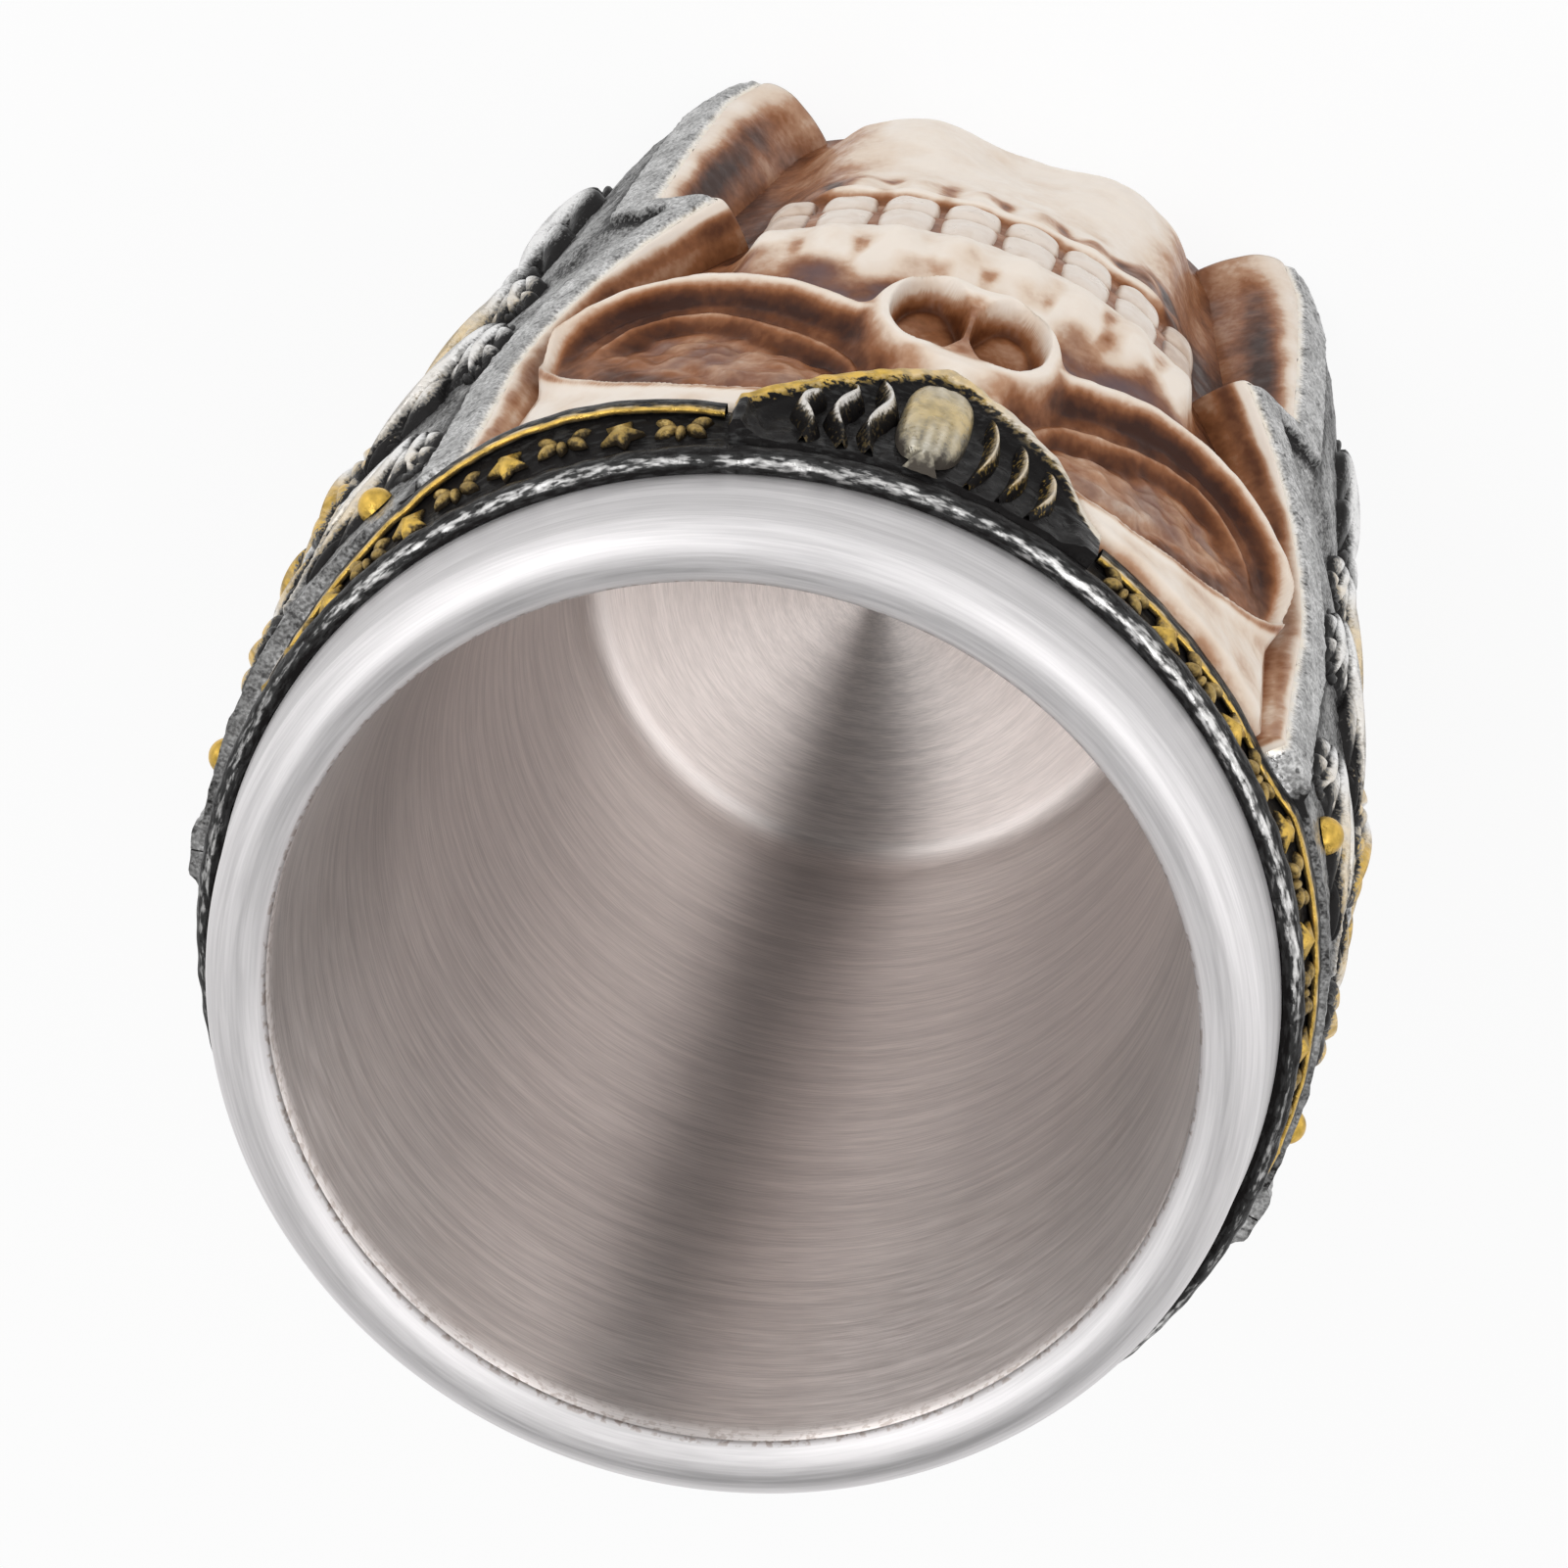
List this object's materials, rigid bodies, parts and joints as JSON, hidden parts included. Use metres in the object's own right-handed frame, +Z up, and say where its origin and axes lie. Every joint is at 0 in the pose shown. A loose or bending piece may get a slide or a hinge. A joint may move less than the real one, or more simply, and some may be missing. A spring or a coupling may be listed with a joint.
{
  "type": "skull mug",
  "caption": "Handleless drinking mug with a brushed steel cup in a cast resin skull that wears an open helmet with cheek guards, a brow plate and a decorated band.",
  "frame": {"origin": "centre of the round base, on the table", "axes": "+Z up along the cup's axis to the mouth, the skull's face looks along -Y"},
  "size_m": [0.0988, 0.0982, 0.1186],
  "materials": {
    "steel_brushed": "brushed round the axis",
    "steel_rim": "satin, polished on the round of the lip",
    "bedding": "set adhesive",
    "bone_resin": "cream cast resin with a brown wash in the hollows",
    "tooth_resin": "pale cast resin, half gloss",
    "black_resin": "black paint with silver dry brushing",
    "gold_paint": "gold paint on resin",
    "pale_gold_paint": "gold and silver dry brushing on resin",
    "silver_resin": "dark silver paint, rubbed bright on the edges",
    "bright_silver_resin": "silver paint, dry brushed"
  },
  "bodies": {
    "root": {"inner_cup": "steel_brushed", "rim_sleeve": "steel_rim", "liner_bond": "bedding", "skull_body": "bone_resin", "skull_back": "bone_resin", "skull_face": "bone_resin", "mandible": "bone_resin", "upper_teeth": "tooth_resin", "lower_teeth": "tooth_resin", "collar_ring": "black_resin", "head_band": "black_resin", "band_edge": "gold_paint", "band_stars": "gold_paint", "brow_plate": "black_resin", "brow_boss": "pale_gold_paint", "brow_ribs": "silver_resin", "cheek_guard_left": "silver_resin", "cheek_guard_right": "silver_resin", "cheek_leaves_left": "bright_silver_resin", "cheek_leaves_right": "bright_silver_resin", "jaw_scale_left": "bright_silver_resin", "jaw_scale_right": "bright_silver_resin", "nape_guard": "silver_resin", "nape_leaves": "bright_silver_resin", "guard_studs": "gold_paint"}
  },
  "joints": []
}
